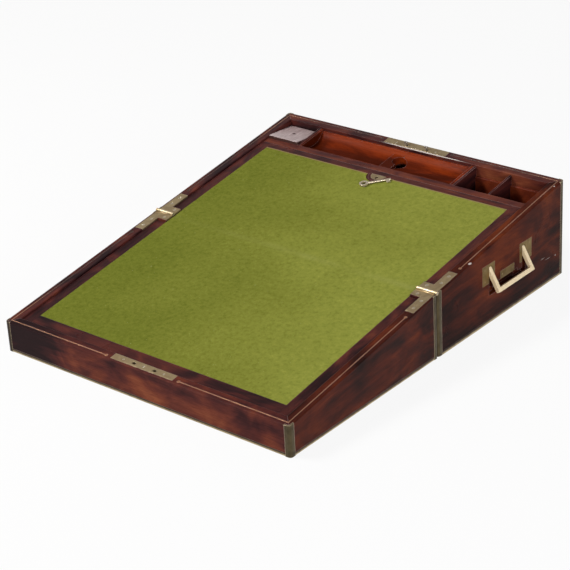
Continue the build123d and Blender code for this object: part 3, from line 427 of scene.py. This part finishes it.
# A darker spot in the middle of the ink lid
KNOB_DARK_SPOT = (0.0042, 0.0042, 0.010)
base_side_spots = (
    ((SIDE, 0.140, 0.085), (THROUGH, 0.080, 0.060), 0.110),
    ((SIDE, 0.240, 0.105), (THROUGH, 0.035, 0.040), 0.090),
    ((SIDE, 0.036, 0.035), (THROUGH, 0.075, 0.070), -0.160),
    ((SIDE, 0.190, 0.015), (THROUGH, 0.110, 0.030), -0.090),
    ((SIDE, 0.218, 0.075), (THROUGH, 0.014, 0.045), -0.070),
    ((SIDE, 0.110, 0.098), (THROUGH, 0.020, 0.016), -0.060),
)
base_side_chips = (
    ((0.2268, 0.0702, 0.0975), (0.0020, 0.0034, 0.0013)),
    ((0.2247, 0.2640, 0.1290), (0.0012, 0.0014, 0.0012)),
    ((SIDE, 0.2633, 0.0329), (0.0020, 0.0012, 0.0011)),
    ((SIDE, 0.2330, 0.0393), (0.0020, 0.0060, 0.00026)),
    ((SIDE, 0.2450, 0.0350), (0.0020, 0.0075, 0.00026)),
)
lid_side_spots = (
    ((SIDE, -0.200, 0.020), (THROUGH, 0.060, 0.030), 0.050),
    ((SIDE, -0.110, 0.035), (THROUGH, 0.050, 0.030), 0.045),
    ((SIDE, -0.030, 0.040), (THROUGH, 0.030, 0.060), -0.060),
    ((SIDE, -0.155, 0.040), (THROUGH, 0.020, 0.030), -0.060),
)
lid_front_spots = (
    ((-0.080, FRONT, 0.013), (0.130, THROUGH, 0.017), 0.110),
    ((0.060, FRONT, 0.015), (0.130, THROUGH, 0.020), 0.070),
    ((-0.190, FRONT, 0.020), (0.085, THROUGH, 0.060), -0.280),
    ((-0.020, FRONT, 0.038), (0.170, THROUGH, 0.009), -0.070),
    ((0.158, FRONT, 0.028), (0.020, THROUGH, 0.030), -0.090),
    ((0.195, FRONT, 0.014), (0.028, THROUGH, 0.018), 0.110),
    ((0.125, FRONT, 0.018), (0.070, THROUGH, 0.022), 0.090),
)
# The finger hole of the tray lies a little behind the middle line of the tray.
HOLE_X = -0.009
HOLE_BEHIND = 0.005
HOLE_RADIUS = 0.010
tray_middle = middle("pen_tray")
tray_hole = (HOLE_X, tray_middle.y + HOLE_BEHIND, tray_middle.z)
tray_spots = (
    # Painted shade: the finger hole dark inside
    (tray_hole, (HOLE_RADIUS + 0.0012, HOLE_RADIUS + 0.0012, 0.030), -0.600),
    # Painted shadow cast by the wall at the tray's left end
    ((-0.148, 0.240, 0.120), (0.024, 0.040, 0.030), -0.200),
    ((0.105, 0.236, 0.116), (0.045, 0.016, 0.020), 0.160),
    # Painted light on the far slope of the hollow
    ((-0.030, 0.2640, 0.124), (0.170, 0.0100, 0.024), 0.200),
    # Painted shade on the near slope of the hollow
    ((-0.030, 0.2370, 0.112), (0.200, 0.0190, 0.030), -0.190),
    ((0.010, 0.252, 0.116), (0.050, 0.010, 0.010), -0.060),
)
flap_front_spots = (((-0.150, -0.262, 0.045), (0.090, 0.012, 0.02), 0.080),)
back_spots = (
    # Painted shadow on the back wall of the ink well
    ((-0.190, INNER_BACK, 0.115), (0.045, 0.012, 0.030), -0.180),
    ((0.155, INNER_BACK, 0.112), (0.080, 0.0045, 0.030), 0.220),
)
# A painted highlight along the inner top arris of the back wall
back_arris_highlight = (((0.016, INNER_BACK + 0.0004, BACK_Z - 0.0026), (0.080, 0.0010, 0.0012)),)
SIDE_TINT = (0.80, 0.62, 0.36)
TRAY_TINT = (0.88, 0.57, 0.32)
LINING_TINT = (1.00, 0.80, 0.72)
timber = {
    "base_right_side": mahogany(
        "mahogany_base_right", "Y", 1.0, 0.01, base_side_spots, base_side_chips, turn=0.05,
        tint=SIDE_TINT, edge_rub_and_highlight=0.8, specular=0.035,
    ),
    "base_left_side": mahogany("mahogany_base_left", "Y", 2.3, -0.06, turn=-0.04),
    "base_back_wall": mahogany("mahogany_base_back", "X", 3.1, -0.03, back_spots, back_arris_highlight, edge_rub_and_highlight=0.9),
    "base_front_wall": mahogany("mahogany_base_hinge_wall", "X", 4.2, -0.02),
    "lid_right_side": mahogany(
        "mahogany_lid_right", "Y", 5.7, 0.01, lid_side_spots, turn=0.08, tint=SIDE_TINT, edge_rub_and_highlight=0.8,
        specular=0.06,
    ),
    "lid_left_side": mahogany("mahogany_lid_left", "Y", 6.4, -0.06, turn=-0.08),
    "lid_front_wall": mahogany(
        "mahogany_lid_front", "X", 7.9, 0.04, lid_front_spots, figure=1.3, edge_rub_and_highlight=0.8, specular=0.055
    ),
    "lid_rear_wall": mahogany("mahogany_lid_hinge_wall", "X", 8.8, -0.02),
    "upper_flap_board": mahogany("mahogany_upper_flap", "X", 9.5, -0.01, turn=TILT, banded=True),
    "lower_flap_board": mahogany(
        "mahogany_lower_flap", "X", 10.6, -0.04, flap_front_spots, turn=TILT, banded=True
    ),
    "compartment_rail": mahogany("mahogany_rail", "X", 11.2, 0.08, edge_rub_and_highlight=0.9),
    "compartment_dividers": mahogany("mahogany_dividers", "Y", 12.9, -0.08, edge_rub_and_highlight=1.0, specular=0.04),
    "compartment_floor": mahogany("mahogany_floor", "X", 13.3, 0.00, gloss=0.5, flame=0.5, specular=0.03),
    "well_linings": mahogany(
        "mahogany_linings", "Y", 14.1, 0.13, gloss=0.45, flame=0.30, specular=0.04, tint=LINING_TINT
    ),
    "tray_bearers": mahogany("mahogany_bearers", "X", 15.4, 0.00, gloss=0.5, flame=0.4, specular=0.03),
    "pen_tray": mahogany(
        "mahogany_tray", "X", 16.8, 0.02, tray_spots, edge_rub_and_highlight=1.0, flame=0.60, specular=0.02, tint=TRAY_TINT
    ),
}


# The pale grey-pink of the ink lid: bleached wood with a painted sheen
BLEACHED_SHEEN_DARK = (0.370, 0.262, 0.260)
BLEACHED_SHEEN = (0.520, 0.412, 0.410)
BLEACHED_SHEEN_PALE = (0.610, 0.505, 0.500)


def bleached_sheen_lid():
    """The ink lid: bleached and dry, grey-pink with darker grain, the grey-pink partly a painted sheen; its
    underside is painted dark as shade.
    """
    m = Shade("mahogany_ink_lid_bleached_sheen", specular=0.45, arris=0.0010)
    grain = m.noise(m.stretch(along_grain("Y", 22.0)), 4.0, 0.6, 0.8)
    fine = m.noise(m.stretch(along_grain("Y", 90.0, 12.0)), 2.0, 0.7)
    shade = m.ramp(grain, (0.30, BLEACHED_SHEEN_DARK), (0.55, BLEACHED_SHEEN), (0.75, BLEACHED_SHEEN_PALE))
    shade = m.mix(m.remap(fine, 0.35, 0.65, 0.5, 0.0), shade, (0.120, 0.070, 0.065))
    facing = m.node("SeparateXYZ")
    m.link(m.node("NewGeometry").outputs["Normal"], facing.inputs[0])
    # Painted shade: faces that look down are dark
    underside_shade = m.remap(facing.outputs["Z"], 0.2, 0.5)
    shade = m.mix(underside_shade, (0.050, 0.018, 0.014), shade)
    shade = m.mix(m.math("MULTIPLY", m.arrises(), 0.5), shade, (0.240, 0.120, 0.100))
    shade = m.mix(m.blob(middle("ink_lid"), KNOB_DARK_SPOT, 0.35), shade, (0.060, 0.022, 0.020))
    m.bump(fine, 0.15, 0.0004)
    return m.finish(shade, 0.38)


timber["ink_lid"] = bleached_sheen_lid()
inside_wood = mahogany("mahogany_inside", "X", 18.5, 0.00, gloss=0.5, edge_rub_and_highlight=0.3, specular=0.04)
bottom_wood = mahogany("mahogany_underside", "X", 19.7, 0.0, gloss=0.55, edge_rub_and_highlight=0.3)


def finish_of(name):
    """The material that a CAD node gets."""
    if name in timber:
        return timber[name]
    if name.endswith("_bottom"):
        return bottom_wood
    if name.endswith("_ledges"):
        return inside_wood
    if "stringing" in name:
        return inlay_brass
    if "corner_strips" in name:
        return strip_brass
    if "edge_strips" in name:
        return edge_brass
    if name in ("right_bail", "left_bail"):
        return bail_brass
    if name == "key":
        return key_metal
    if "handle_ears" in name or "handle_cup" in name:
        return dull_brass
    if "pins" in name or "bolt" in name or "case" in name:
        return old_steel
    return plate_brass


for name, node in nodes.items():
    node.data.materials.clear()
    node.data.materials.append(finish_of(name))


# ---------------------------------------------------------------- new pieces
def mesh_piece(name, bm, body, material):
    """Turns a bmesh into a named piece that rides on a body."""
    mesh = bpy.data.meshes.new(name)
    bm.to_mesh(mesh)
    bm.free()
    mesh.materials.append(material)
    piece = bpy.data.objects.new(name, mesh)
    bpy.context.scene.collection.objects.link(piece)
    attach(piece, body)
    return piece


# Screws with slotted heads
SLOT_HALF = 0.13  # in head radii, as are SLOT_DEPTH and the profile of (radius, height)
SLOT_DEPTH = 0.42
HEAD_PROFILE = ((0.93, 0.0), (1.0, -0.06), (0.52, -0.72), (0.50, -3.6), (0.10, -4.1))
SEGMENTS = 28
SAME_PLACE = 1e-6
SAME_FACE = 1e-5
ORDER_DIGITS = 3  # whole millimetres: at 0.1 mm some screws lie on a rounding step and swap places


def screw_pattern():
    """A countersunk wood screw with a slotted head of radius 1, its face at z 0."""
    bm = bmesh.new()
    rings = []
    for radius, z in HEAD_PROFILE:
        angles = [2 * math.pi * i / SEGMENTS for i in range(SEGMENTS)]
        rings.append([bm.verts.new((radius * math.cos(a), radius * math.sin(a), z)) for a in angles])
    for upper, lower in zip(rings, rings[1:]):
        for i in range(SEGMENTS):
            j = (i + 1) % SEGMENTS
            bm.faces.new((upper[i], lower[i], lower[j], upper[j]))
    bm.faces.new(list(reversed(rings[-1])))
    top = [bm.faces.new(rings[0])]
    for side in (-1, 1):
        edges = dict.fromkeys(e for f in top for e in f.edges)
        verts = dict.fromkeys(v for f in top for v in f.verts)
        geometry = [*top, *edges, *verts]
        bmesh.ops.bisect_plane(bm, geom=geometry, plane_co=(0, side * SLOT_HALF, 0), plane_no=(0, 1, 0))
        top = [f for f in bm.faces if f.calc_center_median().z > -0.01]
    slot = min(top, key=lambda f: abs(f.calc_center_median().y))
    made = bmesh.ops.extrude_face_region(bm, geom=[slot])
    floor = [g for g in made["geom"] if isinstance(g, bmesh.types.BMVert)]
    bmesh.ops.translate(bm, verts=floor, vec=(0, 0, -SLOT_DEPTH))
    bmesh.ops.delete(bm, geom=[slot], context="FACES_ONLY")
    bmesh.ops.recalc_face_normals(bm, faces=bm.faces)
    mesh = bpy.data.meshes.new("screw_pattern")
    bm.to_mesh(mesh)
    bm.free()
    return mesh


def islands(node):
    """The separate solids of a CAD node, each as a list of points, in a fixed order."""
    bm = bmesh.new()
    bm.from_mesh(nodes[node].data)
    bmesh.ops.remove_doubles(bm, verts=bm.verts, dist=SAME_PLACE)
    reached = set()
    for start in bm.verts:
        if start in reached:
            continue
        reached.add(start)
        found = [start]
        for vert in found:
            for near in [e.other_vert(vert) for e in vert.link_edges]:
                if near not in reached:
                    reached.add(near)
                    found.append(near)
        yield [v.co.copy() for v in found]
    bm.free()


def place_in_order(points):
    """Where a solid comes when the solids of a node are sorted by their middles."""
    return tuple(round(v, ORDER_DIGITS) for v in sum(points, Vector()) / len(points))


def slotted_screws(node, body, outward, material):
    """Replaces a node of plain screws by slotted ones in the same places."""
    bm = bmesh.new()
    outward = Vector(outward).normalized()
    for points in sorted(islands(node), key=place_in_order):
        highest = max(p.dot(outward) for p in points)
        face = [p for p in points if p.dot(outward) > highest - SAME_FACE]
        centre = sum(face, Vector()) / len(face)
        radius = max((p - centre).length for p in face)
        spin = Matrix.Rotation(rng.uniform(0, math.pi), 4, "Z")
        turned = outward.to_track_quat("Z", "Y").to_matrix().to_4x4()
        copy = screw_shape.copy()
        copy.transform(Matrix.Translation(centre) @ turned @ spin @ Matrix.Scale(radius, 4))
        bm.from_mesh(copy)
        bpy.data.meshes.remove(copy)
    piece = mesh_piece(node + "_slotted", bm, body, material)
    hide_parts(node)


screw_shape = screw_pattern()
slotted_screws("base_hinge_screws", "base", SLOPE_UP, screw_metal)
slotted_screws("lid_hinge_screws", "lid", SLOPE_UP, screw_metal)
slotted_screws("lock_screws", "base", SLOPE_UP, screw_metal)
slotted_screws("strike_screws", "lid", SLOPE_UP, screw_metal)
slotted_screws("right_handle_screws", "base", (1, 0, 0), screw_brass)
slotted_screws("left_handle_screws", "base", (-1, 0, 0), screw_brass)
bpy.data.meshes.remove(screw_shape)

# Felt
FELT_CELL = 0.004
FELT_SOFT = 0.0014  # width of the soft cut edge
EDGE_DROP = 0.0002  # how far the cut edge sinks
RIPPLE = 0.00005
WAVES = 5
HINGE_END = 0.00003  # each sheet stops this far from the hinge line
SHARP = math.radians(40)
SAME_LINE = 1e-7
NOTCH_RADIUS = 0.018  # as in the photo, 3 mm more than in the plain CAD felt
NOTCH_STEPS = 24


def felt_outline(half, s0, s1, notch):
    """The cut edge of one sheet of felt, as points (x, s), counter-clockwise."""
    points = [(-half, s0), (half, s0), (half, s1)]
    if notch:
        across, up, radius = notch
        start = math.asin((s1 - up) / radius)
        for i in range(NOTCH_STEPS + 1):
            angle = start - (math.pi + 2 * start) * i / NOTCH_STEPS
            points.append((across + radius * math.cos(angle), up + radius * math.sin(angle)))
    points.append((-half, s1))
    return points


def felt_piece(node, body, notch=None):
    """A sheet of felt laid in its bed: soft cut edges and a slightly uneven surface.

    The notch is (across, up, radius), round the plate of the flap lock.
    """
    corners = [v.co for v in nodes[node].data.vertices]
    half = max(v.x for v in corners)
    reach = [slope_s(v) for v in corners]
    s0, s1 = min(reach), max(reach)
    levels = [slope_n(v) for v in corners]
    top, back = max(levels), min(levels)
    upper = s1 > HALF_DEPTH / 3  # the sheet of the upper flap, which ends far up the slope
    s0, s1 = (HINGE_END, s1) if upper else (s0, -HINGE_END)
    outline = felt_outline(half, s0, s1, notch)
    bm = bmesh.new()
    ring = []
    for (x0, a), (x1, b) in zip(outline, outline[1:] + outline[:1]):
        pieces = max(1, round(math.dist((x0, a), (x1, b)) / FELT_CELL))
        for i in range(pieces):
            t = i / pieces
            ring.append(bm.verts.new((x0 + (x1 - x0) * t, a + (b - a) * t, 0)))
    edges = [bm.edges.new(pair) for pair in zip(ring, ring[1:] + ring[:1])]
    bmesh.ops.triangle_fill(bm, edges=edges, use_beauty=True)
    for face in bm.faces:
        if face.normal.z < 0:
            face.normal_flip()
    for axis, low, high in (((1, 0, 0), -half, half), ((0, 1, 0), s0, s1)):
        count = max(1, round((high - low) / FELT_CELL))
        for i in range(1, count):
            at = low + (high - low) * i / count
            geometry = bm.verts[:] + bm.edges[:] + bm.faces[:]
            on_line = [at * v for v in axis]
            bmesh.ops.bisect_plane(bm, geom=geometry, plane_co=on_line, plane_no=axis, dist=SAME_LINE)
    waves = [(rng.uniform(20, 60), rng.uniform(20, 60), rng.uniform(0, 6.28)) for _ in range(WAVES)]
    for vert in bm.verts:
        x, s = vert.co.x, vert.co.y
        border = min(half - abs(x), s1 - s if upper else s - s0)
        if notch:
            border = min(border, math.dist((x, s), notch[:2]) - notch[2])
        rise = min(1.0, max(0.0, border) / FELT_SOFT)
        ripple = sum(math.sin(a * x + b * s + c) for a, b, c in waves) / len(waves)
        vert.co = on_slope(x, s, top - EDGE_DROP * (1 - rise) ** 2 - RIPPLE * (1 + ripple))
    made = bmesh.ops.extrude_face_region(bm, geom=bm.faces[:], use_keep_orig=True)
    for vert in [g for g in made["geom"] if isinstance(g, bmesh.types.BMVert)]:
        vert.co += SLOPE_UP * (back - slope_n(vert.co))
    bmesh.ops.recalc_face_normals(bm, faces=bm.faces)
    for face in bm.faces:
        face.smooth = True
    for edge in bm.edges:
        edge.smooth = edge.calc_face_angle(0.0) < SHARP
    piece = mesh_piece(node + "_sheet", bm, body, felt)
    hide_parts(node)


plate_low, plate_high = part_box("flap_lock_plate")
notch_x = (plate_low.x + plate_high.x) / 2
notch_up = slope_s(plate_high)
felt_piece("upper_felt", "upper_flap", (notch_x, notch_up, NOTCH_RADIUS))
felt_piece("lower_felt", "lower_flap")


# ---------------------------------------------------------------- floor, lights and camera
FLOOR_HALF = 6.0
FLOOR_COLOUR = (0.80, 0.80, 0.80)
FLOOR_WHITE = 0.90  # the share of plain white that camera and mirror rays see on the floor
SOFT_LIGHT = 0.14
BACKDROP_FADE = (("From Min", 0.35), ("From Max", 0.75), ("To Min", 1.0), ("To Max", 0.35))
AIM = Vector((0, 0, 0.05))
CAMERA_TURN = (40.79, 26.10, -3.284)  # azimuth, elevation and roll, in degrees
CAMERA_PLACE = (1.3927, -1.6262, 1.0855)
CAMERA_LENS = 118.2
CAMERA_SENSOR = 36.0


def studio_floor():
    """A pale floor that takes the shadow and shows white in the picture and in reflections."""
    bm = bmesh.new()
    bmesh.ops.create_grid(bm, x_segments=1, y_segments=1, size=FLOOR_HALF)
    mesh = bpy.data.meshes.new("floor")
    bm.to_mesh(mesh)
    bm.free()
    plane = bpy.data.objects.new("floor", mesh)
    bpy.context.scene.collection.objects.link(plane)
    m = Shade("floor_pale", specular=0.0)
    mat = m.finish(FLOOR_COLOUR, 0.9)
    out = next(n for n in m.tree.nodes if n.bl_idname == "ShaderNodeOutputMaterial")
    path = m.node("LightPath")
    seen = m.math("MAXIMUM", path.outputs["Is Camera Ray"], path.outputs["Is Transmission Ray"])
    seen = m.math("MAXIMUM", seen, path.outputs["Is Glossy Ray"])
    glow = m.node("Emission")
    glow.inputs["Strength"].default_value = 1.0
    mixed = m.node("MixShader")
    m.link(m.math("MULTIPLY", seen, FLOOR_WHITE), mixed.inputs[0])
    m.link(m.bsdf.outputs["BSDF"], mixed.inputs[1])
    m.link(glow.outputs["Emission"], mixed.inputs[2])
    m.link(mixed.outputs["Shader"], out.inputs["Surface"])
    mesh.materials.append(mat)


def studio_world():
    """White background; soft dim light, and a white backdrop that reflections meet low down."""
    made = bpy.data.worlds.new("studio")
    bpy.context.scene.world = made
    made.use_nodes = True
    tree = made.node_tree
    tree.nodes.clear()

    def node(kind):
        return tree.nodes.new("ShaderNode" + kind)

    out = node("OutputWorld")
    soft = node("Background")
    soft.inputs["Color"].default_value = (0.95, 0.97, 1.0, 1.0)
    soft.inputs["Strength"].default_value = SOFT_LIGHT
    direction = node("TexCoord")
    split = node("SeparateXYZ")
    tree.links.new(direction.outputs["Generated"], split.inputs[0])
    height = node("MapRange")
    height.interpolation_type = "SMOOTHSTEP"
    for key, number in BACKDROP_FADE:
        height.inputs[key].default_value = number
    tree.links.new(split.outputs["Z"], height.inputs["Value"])
    backdrop = node("Background")
    tree.links.new(height.outputs["Result"], backdrop.inputs["Strength"])
    white = node("Background")
    path = node("LightPath")
    mirrored = node("MixShader")
    tree.links.new(path.outputs["Is Glossy Ray"], mirrored.inputs[0])
    tree.links.new(soft.outputs[0], mirrored.inputs[1])
    tree.links.new(backdrop.outputs[0], mirrored.inputs[2])
    seen = node("Math")
    seen.operation = "MAXIMUM"
    tree.links.new(path.outputs["Is Camera Ray"], seen.inputs[0])
    tree.links.new(path.outputs["Is Transmission Ray"], seen.inputs[1])
    mixed = node("MixShader")
    tree.links.new(seen.outputs[0], mixed.inputs[0])
    tree.links.new(mirrored.outputs[0], mixed.inputs[1])
    tree.links.new(white.outputs[0], mixed.inputs[2])
    tree.links.new(mixed.outputs[0], out.inputs["Surface"])


def lamp(name, place, size, power, colour):
    """A rectangular lamp that points at the object."""
    light = bpy.data.lights.new(name, "AREA")
    light.shape = "RECTANGLE"
    light.size, light.size_y = size
    light.energy = power
    light.color = colour
    holder = bpy.data.objects.new(name, light)
    holder.location = place
    holder.rotation_euler = (AIM - Vector(place)).to_track_quat("-Z", "Y").to_euler()
    bpy.context.scene.collection.objects.link(holder)


def photo_camera():
    """The camera at the photograph's angle."""
    azimuth, elevation, roll = (math.radians(v) for v in CAMERA_TURN)
    level = math.cos(elevation)
    forward = Vector((-math.sin(azimuth) * level, math.cos(azimuth) * level, -math.sin(elevation)))
    flat = forward.cross(Vector((0, 0, 1))).normalized()
    upright = flat.cross(forward)
    right = flat * math.cos(roll) + upright * math.sin(roll)
    up = upright * math.cos(roll) - flat * math.sin(roll)
    data = bpy.data.cameras.new("photo_camera")
    data.sensor_width = CAMERA_SENSOR
    data.lens = CAMERA_LENS
    data.clip_end = 50.0
    holder = bpy.data.objects.new("photo_camera", data)
    placed = Matrix((right, up, -forward)).transposed().to_4x4()
    placed.translation = CAMERA_PLACE
    holder.matrix_world = placed
    bpy.context.scene.collection.objects.link(holder)
    bpy.context.scene.camera = holder


studio_floor()
studio_world()
lamp("key", (-1.40, -1.12, 2.15), (0.8, 0.8), 66.0, (1.0, 0.98, 0.95))
lamp("fill", (2.2, -1.3, 0.70), (1.2, 0.9), 42.0, (0.98, 0.98, 1.0))
lamp("rear", (0.6, 2.2, 1.6), (1.8, 0.8), 6.0, (0.95, 0.96, 1.0))
photo_camera()
bpy.context.scene.view_settings.view_transform = "Standard"
